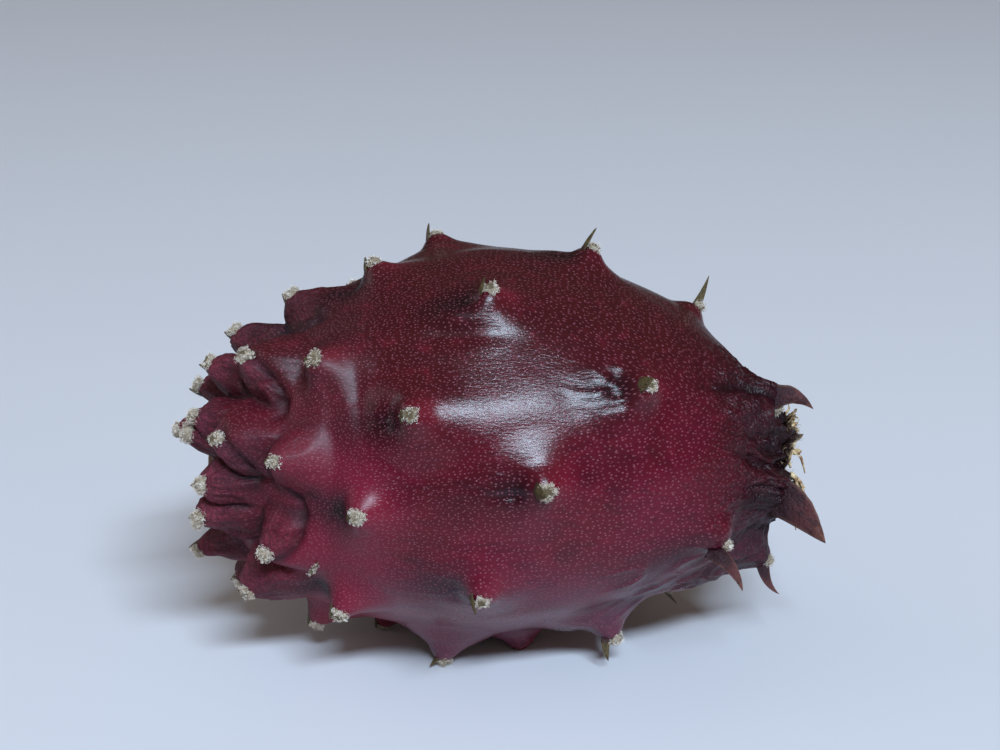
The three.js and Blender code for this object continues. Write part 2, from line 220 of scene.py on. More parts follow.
class Podarium:
    """One wart of the rind, with the place and frame that its scale and wool take."""

    def __init__(self, n):
        turn = FIRST_TURN - GOLDEN_ANGLE * (n - FIRST_INDEX)
        polar = 15.6 + 1.3 * n + 50.4 * (n / 53) ** 4.4
        # The spiral's own pole sits a little off the body's, so the underside's run further on.
        polar += (1 - step(80, 102, polar)) * (4.5 - 5.5 * math.sin(turn * DEG))
        d_polar, d_turn = STRAYED.get(n, (draw(n, 1), 1.5 * draw(n, 2)))
        self.n = n
        self.polar = (polar + d_polar) * DEG
        self.turn = (turn + d_turn) * DEG
        self.open = float(step(38, 60, self.polar / DEG))  # 0 in the crowd, 1 standing apart
        self.late = float(step(112, 135, self.polar / DEG))  # 1 round the flower end
        self.shrunk = CRUMPLED.get(n, 1 - self.open)
        self.lean = -math.cos(self.polar)  # -1 towards the stem, 1 towards the flower
        self.along, self.round, self.out = frame_at(self.polar, self.turn)
        self.centre = body_point(self.polar, self.turn)
        self.width = min(self.spacing() * mix(0.62, 0.5, self.open), WIDEST)
        self.width *= 1 + 0.08 * draw(n, 3)
        self.height = mix(5.7, 2.2, self.open) * (1 - 0.45 * self.late) * (1 + 0.12 * draw(n, 4))
        self.height += float(belly(self.polar, self.turn)) + RAISED.get(n, 0)
        self.pointed = mix(1.3, 1.9, self.open)
        self.full = mix(1.8, 1.5, self.open)
        self.knob = 1.4 * self.open
        self.dimple = 1.1 * self.open * (1 - self.late)

    def spacing(self):
        """Mean distance to the neighbours, from the rind that each podarium has."""
        e = 1e-3
        per_index = (1.3 + 4.18 * (self.n / 53) ** 3.4) * DEG
        gap = body_point(self.polar + e, 0) - body_point(self.polar - e, 0)
        self.stretch = np.linalg.norm(gap) / (2 * e)
        around = 2 * math.pi * float(profile(self.polar)[1])
        return math.sqrt(around * self.stretch * per_index)

    def local(self, points):
        """Places seen from this podarium: along, round and out of its centre."""
        d = points - self.centre
        return d @ self.along, d @ self.round, d @ self.out

    def lift(self, along, round_, out):
        """How high it lifts the rind, and how far off each place is in its own widths.

        Its slope is steep on the side that it leans to, and a knob stands under the areole. In
        the crowd the podaria are pressed into four or five flat flanks.
        """
        lean = abs(self.lean)
        long = mix(0.32, 0.6, self.open)
        reach = np.where(along * self.lean > 0, 1 - 0.35 * lean, 1 + long * lean)
        corner = 2 * math.pi / (4 + self.n % 2)
        face = (np.arctan2(round_, along) + draw(self.n, 10)) % corner - corner / 2
        flat = mix(1, 1.08 * np.cos(face), 0.75 * (1 - self.open))
        across = np.sqrt((along / (self.width * reach)) ** 2 + (round_ / self.width) ** 2)
        away = np.sqrt((across * flat) ** 2 + (out / 14) ** 2)
        slope = self.height * (1 - np.minimum(away, 1) ** self.full) ** self.pointed
        far = np.sqrt(along ** 2 + round_ ** 2 + out ** 2)
        return slope + self.knob * np.exp(-((far / KNOB_RADIUS) ** 3)), away

    def sink(self, along, round_, out):
        """How far the rind is drawn in just stemward of the scale."""
        return self.dimple * np.exp(-((along + 2.6) ** 2 + round_ ** 2 + out ** 2) / (2 * 1.9 ** 2))


podaria = [Podarium(n) for n in range(PODARIA)]


def pleats(polar, turn):
    """Shrunken folds that run to the flower end."""
    near = step(132 * DEG, RIM_ANGLE, polar) * (1 - step(RIM_ANGLE, RIM_ANGLE + 0.15, polar))
    return near * (0.5 * np.sin(9 * turn + 0.8) + 0.35 * np.sin(14 * turn + 2.1))


def swell(polar, turn):
    """The slight unevenness of a grown thing."""
    middle = np.sin(polar) ** 2
    return middle * (0.45 * np.sin(2 * turn + 1.7 * polar)
                     + 0.3 * np.sin(3 * turn - 2.6 * polar + 1))


def lump_edge(p, along, round_):
    """How crumpled the rind is by where podarium p's lump ends, and the furrow at its foot."""
    if p.n not in LUMPS:
        return step(5.5, 2.5, along), 0 * along
    at_along, at_round, long, wide = LUMPS[p.n]
    across = np.hypot((along - at_along) / long, (round_ - at_round) / wide)
    furrow = np.exp(-((across - 1) * min(long, wide) / 0.65) ** 2) * step(-1.5, 1.5, along)
    return np.maximum(step(1.1, 0.95, across), step(0, -2, along)), furrow * step(1.6, 1.2, across)


def crumple(p, along, round_, away, points):
    """Fine shrunken folds down the flanks of a crowded podarium, from its tip to its foot."""
    angle = np.arctan2(round_, along)
    flank = step(0.2, 0.45, away) * (1 - step(0.9, 1.05, away))
    shrunk = max(p.shrunk ** 1.5, 0.5 * p.late * (p.n >= FOLDED_FROM))
    flank = flank * shrunk * lump_edge(p, along, round_)[0]
    rays = np.sin(angle * (9 + p.n % 3) + 3.5 * noise(points, 5, p.n) + p.n)
    folds = 1.0 * ridges(points, 4.5, p.n + 5) + 0.6 * ridges(points, 2, p.n + 2) - 0.75
    return flank * (0.2 * rays + folds + 0.35 * noise(points, 2.2, p.n + 9))


def fan(p, along, round_, out):
    """Short wrinkles that run stemward from the scale of a podarium that stands apart."""
    if p.open < 0.5 or p.late > 0.5:
        return 0 * along
    spread = 3 + 0.12 * np.maximum(-along - 4, 0)
    reach = step(-14, -5, along) * step(-0.9, -2.2, along)
    reach = reach * np.exp(-(round_ / spread) ** 2 - (out / 4) ** 2)
    places = np.stack([along * 0.12, round_ * 4 / (3 - 0.25 * along), out], -1)
    wrinkles = 0.42 * (ridges(places, 1.2, p.n) - 0.5) + 0.2 * noise(places, 3, p.n)
    return FANNED.get(p.n, USUAL_FAN) * p.open * reach * wrinkles


def bulge(along, round_, out, height, at_along, at_round, long, wide):
    """A swelling beside a podarium, or a furrow where the height is below nought."""
    across = ((along - at_along) / long) ** 2 + ((round_ - at_round) / wide) ** 2
    return height * np.exp(-across - (out / 9) ** 4)


def spot(along, round_, out, at_along, at_round, long, wide, deep):
    """1 at a place beside a podarium, fading out within a size along, round and out."""
    return np.exp(-((along - at_along) / long) ** 2 - ((round_ - at_round) / wide) ** 2
                  - (out / deep) ** 2)


def rind(polar, turn, fine=True):
    """The rind's surface and, for its colours, how each place on it lies.

    Neighbours meet in a crease, so the highest podarium rules and the others only soften it.
    """
    points = body_point(polar, turn)
    along_, _, out_ = frame_at(polar, turn)
    total = np.zeros(points.shape[:-1])
    weights = total + 1e-9
    leaning, drawn, flush_and_light, shade, crumpled, fanned = (total.copy() for _ in range(6))
    first, second, crowd, foot = (total.copy() for _ in range(4))
    flank = np.zeros(points.shape)
    for p in podaria:
        local = p.local(points)
        h, away = p.lift(*local)
        drawn += p.sink(*local)
        weight = np.exp(1.6 * h) - 1
        total += weight * h
        leaning += weight * h * p.lean * mix(0.35, 0.3, p.open)
        weights += weight
        along, round_, out = local
        inside, furrow = lump_edge(p, along, round_)
        crowd = np.maximum(crowd, p.shrunk * step(1.25, 0.7, away) * inside)
        if fine:
            crumpled += weight * crumple(p, along, round_, away, points)
            fanned += fan(p, *local)
            # Painted shade: a dark patch stemward of the scale of each podarium that stands apart,
            # less at the flower end.
            shaded = p.open * (1 - 0.6 * p.late) * (p.n != UNSHADED)
            shade += shaded * step(1, -3, along) * spot(*local, -5, -0.8, 6.5, 3.6, 5)
            # A reddish flush on the flower side of each podarium that stands apart, partly painted
            # light on the face towards the window.
            flush_and_light += p.open * spot(*local, 2.4, 0.6, 2.6, 2.2, 4)
            foot = np.maximum(foot, furrow * np.exp(-(out / 9) ** 4))
            for form in BULGES.get(p.n, ()):
                fanned += bulge(*local, *form)
            way = unit(np.stack([along, round_, 0 * away], -1))
            way[..., 2] = 0.25 * away
            flank = np.where((h > first)[..., None], way, flank)
        second = np.maximum(second, np.minimum(first, h))
        first = np.maximum(first, h)
    rise = total / weights
    crease = np.exp(-((first - second) / 0.55) ** 2) * step(0.25, 1.6, second)
    folds = pleats(polar, turn)
    lifted = rise - drawn + folds + swell(polar, turn) - belly(polar, turn)
    ways = {"rise": rise, "crease": crease, "crowd": crowd, "hollow": drawn, "flush_and_light": flush_and_light,
            "shade": shade, "flank": flank, "own": step(0, 0.7, first - second), "foot": foot}
    if fine:
        lifted = lifted + crumpled / weights + fanned + fine_relief(points, polar, turn, ways)
        lifted = lifted - 0.9 * ways.pop("foot")
    points = points + out_ * lifted[..., None] + along_ * (leaning / weights)[..., None]
    points[..., 2] = np.maximum(points[..., 2], 0)
    return points, ways


def flower_gathers(points, polar, turn):
    """The crumpled flower end: its relief, and how deep in a fold each place lies."""
    end = step(138 * DEG, 152 * DEG, polar) * (1 - step(170 * DEG, 178 * DEG, polar))
    warped = turn + 0.2 * noise(points, 6, 6)
    gathers = np.abs(np.sin(8 * warped + 1.3 * np.sin(3 * turn))) ** 0.6
    tucks = np.abs(np.sin(21 * warped + 2 * np.sin(5 * turn))) ** 0.7
    cross = ridges(points * (1.4, 1, 1), 3.4, 8)
    small = ridges(points, 1.7, 11)
    near = step(148 * DEG, 157 * DEG, polar)
    deep = 0.45 * (1 - gathers) + 0.3 * (1 - tucks) + 0.3 * (1 - cross) + 0.25 * (1 - small)
    crumpled = 0.9 * gathers + 0.6 * tucks + 0.45 * cross + 0.3 * small - 1.3
    return end * crumpled, end * np.clip(deep + 0.7 * near - 0.1, 0, 1)


def long_grooves(points, polar, turn):
    """How deep each place lies in one of the long folds that run to the flower end, 0 to 1."""
    deep = 0
    for at, start in GROOVES:
        off = (turn - at * DEG - 0.16 * noise(points, 7, at) + math.pi) % (2 * math.pi) - math.pi
        reach = step(start * DEG, (start + 12) * DEG, polar) * step(172 * DEG, 160 * DEG, polar)
        deep = np.maximum(deep, reach * np.exp(-(off / GROOVE_HALF) ** 2))
    return deep


def belly_pleats(points, polar, turn):
    """Where the low belly by the flower end is pleated, and the pleats' relief about 0."""
    under = step(106 * DEG, 122 * DEG, polar) * step(150 * DEG, 138 * DEG, polar)
    under = under * step(0.15, 0.45, -np.sin(turn)) * step(-0.2, 0.2, np.cos(turn))
    return under, ridges(points * (0.45, 1, 1), 3, 14) - 0.5


def fine_relief(points, polar, turn, ways):
    """What the solids leave out: soft unevenness, deeper creases, grooves and pleats."""
    soft = 0.3 * noise(points * (0.5, 1, 1), 8, 1) + 0.06 * noise(points * (0.5, 1, 1), 3.5, 2)
    low = step(1.6, 0.2, ways["rise"]) * ways["crowd"]
    crease = 0.9 * ways["crease"] * ways["crowd"] + 0.6 * low * ridges(points, 3, 4)
    valley = np.exp(-((polar / DEG - 57.5 - 2 * np.sin(3 * turn)) / 2.4) ** 2)
    valley = 0.6 * valley * step(0.1, 0.35, np.sin(turn)) * step(0.9, 0.7, np.sin(turn))
    gathers, fold = flower_gathers(points, polar, turn)
    grooves = long_grooves(points, polar, turn)
    under, pleated = belly_pleats(points, polar, turn)
    fold = np.maximum(fold, np.maximum(0.85 * grooves, 0.7 * ways["foot"]))
    ways["fold"] = np.maximum(fold, 0.6 * under * (0.5 - pleated))
    return soft - crease - valley + gathers + 0.5 * under * pleated - 0.8 * grooves


# ---- meshes ------------------------------------------------------------------------------
def show(name, data):
    """An object for a mesh, light or camera, put in the scene."""
    obj = bpy.data.objects.new(name, data)
    bpy.context.scene.collection.objects.link(obj)
    return obj


def add_mesh(name, points, faces, attributes=None):
    """A mesh object from millimetre points in the growth frame."""
    mesh = bpy.data.meshes.new(name)
    mesh.from_pydata(((points - BOX_CENTRE) * MM).tolist(), [], [list(f) for f in faces])
    for label, values in (attributes or {}).items():
        values = np.asarray(values, np.float32)
        kind, key = ("FLOAT", "value") if values.ndim == 1 else ("FLOAT_VECTOR", "vector")
        mesh.attributes.new(label, kind, "POINT").data.foreach_set(key, values.ravel())
    mesh.polygons.foreach_set("use_smooth", [True] * len(mesh.polygons))
    mesh.validate()
    mesh.update()
    return show(name, mesh)


def tube_faces(stations, sides):
    """Quads round a run of rings, with a fan of triangles over each end."""
    faces = []
    for r in range(stations - 1):
        for k in range(sides):
            a, b = r * sides + k, r * sides + (k + 1) % sides
            faces.append((a, b, b + sides, a + sides))
    last = (stations - 1) * sides
    for k in range(1, sides - 1):
        faces.append((0, k + 1, k))
        faces.append((last, last + k, last + k + 1))
    return faces


def join_shapes(name, shapes):
    """One mesh object, facing outwards, from shapes of points, faces and colour values."""
    points, faces, values, start = [], [], {}, 0
    for shape_points, shape_faces, shape_values in shapes:
        points.append(shape_points)
        faces += [tuple(start + i for i in face) for face in shape_faces]
        for label, v in shape_values.items():
            values.setdefault(label, []).append(v)
        start += len(shape_points)
    joined = add_mesh(name, np.concatenate(points), faces,
                      {label: np.concatenate(v) for label, v in values.items()})
    work = bmesh.new()
    work.from_mesh(joined.data)
    bmesh.ops.recalc_face_normals(work, faces=work.faces)
    work.to_mesh(joined.data)
    work.free()
    return joined


def above_floor(points):
    """The points with whatever lies on or under the floor pressed flat just over it."""
    z = points[:, 2]
    below = np.minimum(z - PRESS_HEIGHT, 0) / PRESS_HEIGHT
    pressed = np.where(z < PRESS_HEIGHT, PRESS_HEIGHT * np.exp(below), z)
    return np.column_stack([points[:, :2], pressed])


# ---- the rind ----------------------------------------------------------------------------
RIND_CELLS = 126  # along each edge of the six patches that cover the fruit
END_CROWDING = 0.16  # how much smaller the cells are at the ends of the fruit


def rind_patches():
    """Six patches over the fruit, as on a ball in a box: two caps and four sides."""
    steps = np.tan(np.linspace(-math.pi / 4, math.pi / 4, RIND_CELLS + 1))
    a, b = np.meshgrid(steps, steps, indexing="ij")
    one = np.ones_like(a)
    return [np.stack(v, -1) for v in (
        (-one, b, a), (one, a, b), (a, -one, b), (b, one, a), (b, a, -one), (a, b, one))]


def speckle_step(polar):
    """Distance between the rind's pale dots, in millimetres."""
    return mix(0.5, 0.76, step(40 * DEG, 125 * DEG, polar))


def speckle_map(polar, turn, patch):
    """Flat coordinates for the dots, a unit for each dot, cut where the patches meet."""
    samples = np.linspace(0, math.pi, 721)
    gaps = np.linalg.norm(np.diff(body_point(samples, 0), axis=0), axis=1)
    run = np.concatenate([[0], np.cumsum(gaps / speckle_step(samples[1:]))])
    s = np.interp(polar, samples, run)
    if patch < 2:
        s = s if patch == 0 else run[-1] - s
        return np.stack([s * np.cos(turn) + 400 * patch, s * np.sin(turn)], -1)
    middle = {2: 0, 3: math.pi, 4: -math.pi / 2, 5: math.pi / 2}[patch]
    off = (turn - middle + math.pi) % (2 * math.pi) - math.pi
    across = off * profile(polar)[1] / speckle_step(polar)
    return np.stack([s / 1.2, 1.2 * across + 400 * patch], -1)


def build_rind():
    """The fruit's skin: six patches joined at their edges, with what its colours go by."""
    size = RIND_CELLS + 1
    ways = np.concatenate([unit(p.reshape(-1, 3)) for p in rind_patches()])
    even = np.arccos(np.clip(-ways[:, 0], -1, 1))
    polar = even - END_CROWDING * np.sin(2 * even)
    turn = np.arctan2(ways[:, 2], -ways[:, 1])
    _, first, joined = np.unique(np.round(ways, 6) + 0.0, axis=0, return_index=True,
                                 return_inverse=True)
    cell = np.arange(size * size).reshape(size, size)
    quads = np.stack([cell[:-1, :-1], cell[1:, :-1], cell[1:, 1:], cell[:-1, 1:]], -1)
    quads = quads.reshape(-1, 4)
    corners = np.concatenate([quads + k * size * size for k in range(6)])
    flat = [speckle_map(polar[k * size * size:(k + 1) * size * size],
                        turn[k * size * size:(k + 1) * size * size], k) for k in range(6)]
    polar, turn = polar[first], turn[first]
    points, lie = rind(polar, turn)
    lie["wax_and_sheen"] = wax_and_sheen(points, polar, turn, lie)
    lie["aged"] = step(122 * DEG, 150 * DEG, polar)
    lie["rays"] = np.stack([np.cos(turn), np.sin(turn), 0.35 * polar], -1)
    lie["scar"] = 1 - step(7.5 * DEG, 10 * DEG, polar)
    lie["pit"] = step(RIM_ANGLE + 0.02, RIM_ANGLE + 0.16, polar)
    faces = joined.ravel()[corners]
    middle = points[faces].mean(1) - np.array([0, 0, AXIS_HEIGHT])
    normal = np.cross(points[faces[:, 2]] - points[faces[:, 0]],
                      points[faces[:, 3]] - points[faces[:, 1]])
    for k in range(6):
        side = slice(k * len(quads), (k + 1) * len(quads))
        if np.median(dot(middle[side], normal[side])) < 0:
            faces[side] = faces[side][:, ::-1]
            corners[side] = corners[side][:, ::-1]
    skin = add_mesh("fruit_rind", points, faces, lie)
    layer = skin.data.uv_layers.new(name="speckle_map")
    layer.data.foreach_set("uv", np.concatenate(flat)[corners].astype(np.float32).ravel())
    return skin


def wax_and_sheen(points, polar, turn, lie):
    """Where the pale wax lies thickest, with a painted lavender sheen: on the crowded crests and
    along the belly.
    """
    crest = lie["crowd"] * step(2.2, 4.5, lie["rise"])
    belly = step(-8 * DEG, -38 * DEG, np.arcsin(np.sin(turn))) * step(60 * DEG, 85 * DEG, polar)
    belly = belly * (1 - 0.5 * step(110 * DEG, 130 * DEG, polar))
    return np.clip(0.25 * crest + 0.9 * belly, 0, 1) * (0.6 + 0.4 * noise(points, 7, 12))


# ---- scales ------------------------------------------------------------------------------
def top_of(p):
    """Where podarium p's tip stands on the rind."""
    return rind(np.array([p.polar]), np.array([p.turn]), fine=False)[0][0]


def bezier(a, b, c, t):
    """Points of the curve from a to c that b draws aside."""
    t = t[:, None]
    return (1 - t) ** 2 * a + 2 * t * (1 - t) * b + t ** 2 * c


def blade(p, stations, sides):
    """Points, faces and colour values of podarium p's scale, a keeled blade."""
    top = top_of(p)
    t = np.linspace(0, 1, stations) ** 0.9
    leaf = LEAVES.get(p.n)
    if leaf:
        root, bend, tip, side, width = leaf
        spine = bezier(top + root, top + bend, top + tip, t)
        thick = 0.35 + 0.11 * width
    else:
        way = unit(p.out + p.along * mix(-0.25, 0.15, p.open))
        long = mix(0.8, 3.2, float(step(50, 105, p.polar / DEG))) * (1 + 0.15 * draw(p.n, 5))
        root = top - p.along * 0.8 - way * 1.6
        spine = bezier(root, root + way * (0.9 + 0.6 * long), top - p.along * 0.5 + way * long, t)
        side, width, thick = p.round, mix(2, 3, p.open), 0.9
    tangent = unit(np.gradient(spine, axis=0))
    side = unit(np.array(side, float) - 0.4 * tangent * (tangent @ side)[:, None])
    flat = unit(np.cross(tangent, side))
    across = np.linspace(0, 2 * math.pi, sides, endpoint=False)
    half = (width / 2) * NARROWED.get(p.n, 1) * (1 - t ** FULLNESS.get(p.n, 1.15)) ** 0.9 + 0.02
    deep = (thick / 2) * (1 - 0.75 * t) * np.where(t > 0.98, 0.3, 1)
    c, s = np.cos(across), np.sin(across)
    keel = np.exp(-(c / 0.3) ** 2) * 0.5
    rings = (spine[:, None] + side[:, None] * (half[:, None] * c)[..., None]
             + flat[:, None] * (deep[:, None] * (s * (0.55 + keel) - 0.35 * c ** 2))[..., None])
    rings = rings.reshape(-1, 3)
    rough = 0.12 * width * (1 - np.repeat(t, sides))
    wrinkles = 0.5 * noise(rings, 1.1, p.n) + 0.5 * noise(rings, 2.4, p.n + 3)
    rings = rings + (rough * wrinkles)[:, None] * p.out
    faces = tube_faces(stations, sides)
    values = {"length_way": np.repeat(t, sides), "across": np.tile(np.abs(c), stations),
              "leafy": np.full(len(rings), float(p.n in LEAVES and p.n >= LEAFY_FROM))}
    return above_floor(rings), faces, values


def build_scales():
    return join_shapes("scale_leaves", [
        blade(p, *(LEAF_GRID if p.n in LEAVES else SCALE_GRID)) for p in podaria])


# ---- node trees --------------------------------------------------------------------------
class Signal:
    """A number in a node tree; arithmetic on it adds Math nodes."""

    def __init__(self, nodes, socket):
        self.nodes, self.socket = nodes, socket

    def __add__(self, other):
        return self.nodes.math("ADD", self, other)

    def __sub__(self, other):
        return self.nodes.math("SUBTRACT", self, other)

    def __rsub__(self, other):
        return self.nodes.math("SUBTRACT", other, self)

    def __mul__(self, other):
        return self.nodes.math("MULTIPLY", self, other)

    __radd__ = __add__
    __rmul__ = __mul__


class Nodes:
    """A node tree that one method adds to."""

    def __init__(self, tree):
        self.tree = tree

    def node(self, kind, settings=None, sockets=None):
        """A node of a kind, its settings made first, then its sockets' values and links."""
        made = self.tree.nodes.new(kind)
        for key, value in (settings or {}).items():
            setattr(made, key, value)
        for key, value in (sockets or {}).items():
            if isinstance(value, Signal):
                value = value.socket
            if isinstance(value, bpy.types.NodeSocket):
                self.tree.links.new(value, made.inputs[key])
            else:
                made.inputs[key].default_value = value
        return made

    def math(self, operation, a, b=0.0, clamped=False):
        settings = {"operation": operation, "use_clamp": clamped}
        return Signal(self, self.node("ShaderNodeMath", settings, {0: a, 1: b}).outputs[0])

    def held(self, value):
        """The value kept between 0 and 1."""
        return self.math("ADD", value, 0.0, True)

    def rise(self, value, low, high):
        """0 at low to 1 at high, smoothly."""
        sockets = {"Value": value, "From Min": low, "From Max": high}
        made = self.node("ShaderNodeMapRange", {"interpolation_type": "SMOOTHSTEP"}, sockets)
        return Signal(self, made.outputs["Result"])

    def blend(self, factor, a, b):
        settings = {"data_type": "RGBA", "clamp_factor": True}
        return self.node("ShaderNodeMix", settings, {0: factor, 6: a, 7: b}).outputs[2]


# ---- wool: low cushions with curled fibres grown over them -------------------------------
def cushion(p):
    """The felted pad under the wool of podarium p, on the flower side of its scale."""
    size = 1.1 * (1 + 0.16 * draw(p.n, 6)) * (1 - 0.25 * p.late)
    long = 1 + 0.25 * max(0, draw(p.n, 14))
    centre = top_of(p) + p.along * 0.6
    if p.n in WOOL_SHIFT:
        ahead, aside = WOOL_SHIFT[p.n]
        polar = p.polar + ahead / p.stretch
        turn = p.turn + aside / float(profile(p.polar)[1])
        centre = rind(np.array([polar]), np.array([turn]), fine=False)[0][0]
    return pad(centre, p.along, p.round * long, p.out, size, p.n, draw(p.n, 13) > -0.3,
               WORN.get(p.n, 0))


def pad(centre, along, round_, out, size, seed, ringed, worn=0):
    """A low felted mound, bare round its top where it is ringed, and all over where worn."""
    rings, sides = 7, 20
    t = np.linspace(0, 1, rings)[:, None]
    a = 2 * math.pi * np.arange(sides)[None] / sides + seed
    height = np.where(t > 0, 0.55 * np.sin(t * math.pi / 2), -1.2)
    reach = size * np.where(t > 0, 0.95 * np.cos(t * math.pi / 2) ** 0.6 + 0.03, 0.9)
    reach = reach * (1 + 0.12 * np.sin(3 * a + seed) + 0.08 * np.sin(5 * a + 2 * seed))
    points = (centre + (height + 0 * a)[..., None] * out + (reach * np.cos(a))[..., None] * along
              + (reach * np.sin(a))[..., None] * round_).reshape(-1, 3)
    points = points + 0.25 * noise(points, 0.9, seed)[:, None] * out
    across = np.repeat(t.ravel(), sides)
    bare = 0.9 * step(0.55, 0.85, across) * ringed + 0.5 * (across <= 0)
    bare = np.maximum(bare, worn)
    return above_floor(points), tube_faces(rings, sides), {"bare": bare}


def loose_wool():
    """A strip of wool that clings to the rind between the podaria."""
    polar, turn = LOOSE_WOOL
    centre = rind(np.array([polar]), np.array([turn]))[0][0]
    along, round_, out = frame_at(polar, turn)
    way = unit(0.45 * along + 0.9 * round_)
    return pad(centre, way * 4.6, np.cross(out, way) * 0.75, out * 0.6, 0.45, 70, False, 0.75)


def build_cushions(name, wanted):
    shapes = [cushion(p) for p in podaria if wanted(p)]
    if wanted(podaria[-1]):
        shapes.append(loose_wool())
    return join_shapes(name, shapes)


def curl(name, seed, turns, spread, length, thick):
    """A short curled fibre, standing on the origin, three-sided."""
    rng = np.random.default_rng(seed)
    t = np.linspace(0, 1, 7)
    angle = turns * 2 * math.pi * t + rng.uniform(0, 6)
    line = np.stack([spread * (np.cos(angle) - math.cos(angle[0])) * t ** 0.5,
                     spread * (np.sin(angle) - math.sin(angle[0])) * t ** 0.5,
                     length * t * (1 - 0.35 * t)], -1)
    tangent = unit(np.gradient(line, axis=0))
    side = unit(np.cross(tangent, np.array([0.3, 0.9, 0.2])))
    other = np.cross(tangent, side)
    rings = []
    for k in range(3):
        a = 2 * math.pi * k / 3
        radius = thick * (1 - 0.5 * t)[:, None]
        rings.append(line + radius * (math.cos(a) * side + math.sin(a) * other))
    points = np.stack(rings, 1).reshape(-1, 3) + BOX_CENTRE
    return add_mesh(name, points, tube_faces(7, 3))


def fibre_growth():
    """Shapes picked from a collection, stood on a surface with a random lean and size."""
    g = Nodes(bpy.data.node_groups.new("fibre_growth", "GeometryNodeTree"))
    for name, kind in (("Surface", "Geometry"), ("Fibres", "Collection"), ("Density", "Float"),
                       ("Lean", "Float"), ("Shortest", "Float"), ("Longest", "Float"),
                       ("Seed", "Int"), ("Material", "Material")):
        g.tree.interface.new_socket(name, in_out="INPUT", socket_type="NodeSocket" + kind)
    g.tree.interface.new_socket("Grown", in_out="OUTPUT", socket_type="NodeSocketGeometry")
    given = g.node("NodeGroupInput").outputs
    density, lean = Signal(g, given["Density"]), Signal(g, given["Lean"])
    bare = g.node("GeometryNodeInputNamedAttribute", {"data_type": "FLOAT"}, {"Name": "bare"})
    spots = g.node("GeometryNodeDistributePointsOnFaces", None, {
        "Mesh": given["Surface"], "Seed": given["Seed"],
        "Density": density * (1 - Signal(g, bare.outputs["Attribute"]))}).outputs
    fibres = g.node("GeometryNodeCollectionInfo", None, {
        "Collection": given["Fibres"], "Separate Children": True, "Reset Children": True})
    back = lean * -1
    low = g.node("ShaderNodeCombineXYZ", None, {"X": back, "Y": back, "Z": -math.pi})
    high = g.node("ShaderNodeCombineXYZ", None, {"X": lean, "Y": lean, "Z": math.pi})
    tilt = g.node("FunctionNodeRandomValue", {"data_type": "FLOAT_VECTOR"},
                  {0: low.outputs[0], 1: high.outputs[0]})
    leant = g.node("FunctionNodeEulerToRotation", None, {"Euler": tilt.outputs[0]})
    turned = g.node("FunctionNodeRotateRotation", {"rotation_space": "LOCAL"},
                    {"Rotation": spots["Rotation"], 1: leant.outputs[0]})
    size = g.node("FunctionNodeRandomValue", {"data_type": "FLOAT"},
                  {2: given["Shortest"], 3: given["Longest"], "Seed": 5})
    grown = g.node("GeometryNodeInstanceOnPoints", None, {
        "Points": spots["Points"], "Instance": fibres.outputs[0], "Pick Instance": True,
        "Rotation": turned.outputs[0], "Scale": size.outputs[1]})
    real = g.node("GeometryNodeRealizeInstances", None, {"Geometry": grown.outputs[0]})
    coloured = g.node("GeometryNodeSetMaterial", None,
                      {"Geometry": real.outputs[0], "Material": given["Material"]})
    g.node("NodeGroupOutput", None, {0: coloured.outputs[0]})
    return g.tree


def grow(name, surface, fibres, material, tree, density, lean, sizes, seed):
    """Bakes the fibres grown over a surface into a plain mesh piece."""
    kinds = bpy.data.collections.new(name + "_kinds")
    for fibre in fibres:
        kinds.objects.link(fibre)
    field = surface.modifiers.new("growth", "NODES")
    field.node_group = tree
    wanted = {"Fibres": kinds, "Density": density, "Lean": lean, "Shortest": sizes[0],
              "Longest": sizes[1], "Seed": seed, "Material": material}
    for item in tree.interface.items_tree:
        if item.in_out == "INPUT" and item.name in wanted:
            field[item.identifier] = wanted[item.name]
    bpy.context.view_layer.update()
    ready = surface.evaluated_get(bpy.context.evaluated_depsgraph_get())
    mesh = bpy.data.meshes.new_from_object(ready)
    surface.modifiers.remove(field)
    places = np.empty(len(mesh.vertices) * 3, np.float32)
    mesh.vertices.foreach_get("co", places)
    places = places.reshape(-1, 3)
    places[:, 2] = np.maximum(places[:, 2], FLOOR_GAP * MM)
    mesh.vertices.foreach_set("co", places.ravel())
    mesh.polygons.foreach_set("use_smooth", [True] * len(mesh.polygons))
    mesh.update()
    return show(name, mesh)


# ---- the dried flower --------------------------------------------------------------------
SHREDS = 60
FLOWER_RINGS = [  # how far along the axis, radius and raggedness, from the outside to the inside
    (-3.7, 3.6, 0), (-2.4, 3.9, 0.05), (-1.2, 4.3, 0.2), (0.1, 5.0, 0.4), (1.1, 5.9, 0.5),
    (1.9, 6.7, 0.6), (2.5, 7.3, 0.7), (3.2, 7.6, 0.9), (3.7, 7.7, 1), (3.6, 7.3, 1),
    (3.1, 6.4, 0.9), (2.6, 5.4, 0.8), (2.1, 4.2, 0.6), (1.7, 3.0, 0.4), (1.4, 1.8, 0.2),
    (1.3, 0.6, 0),
]


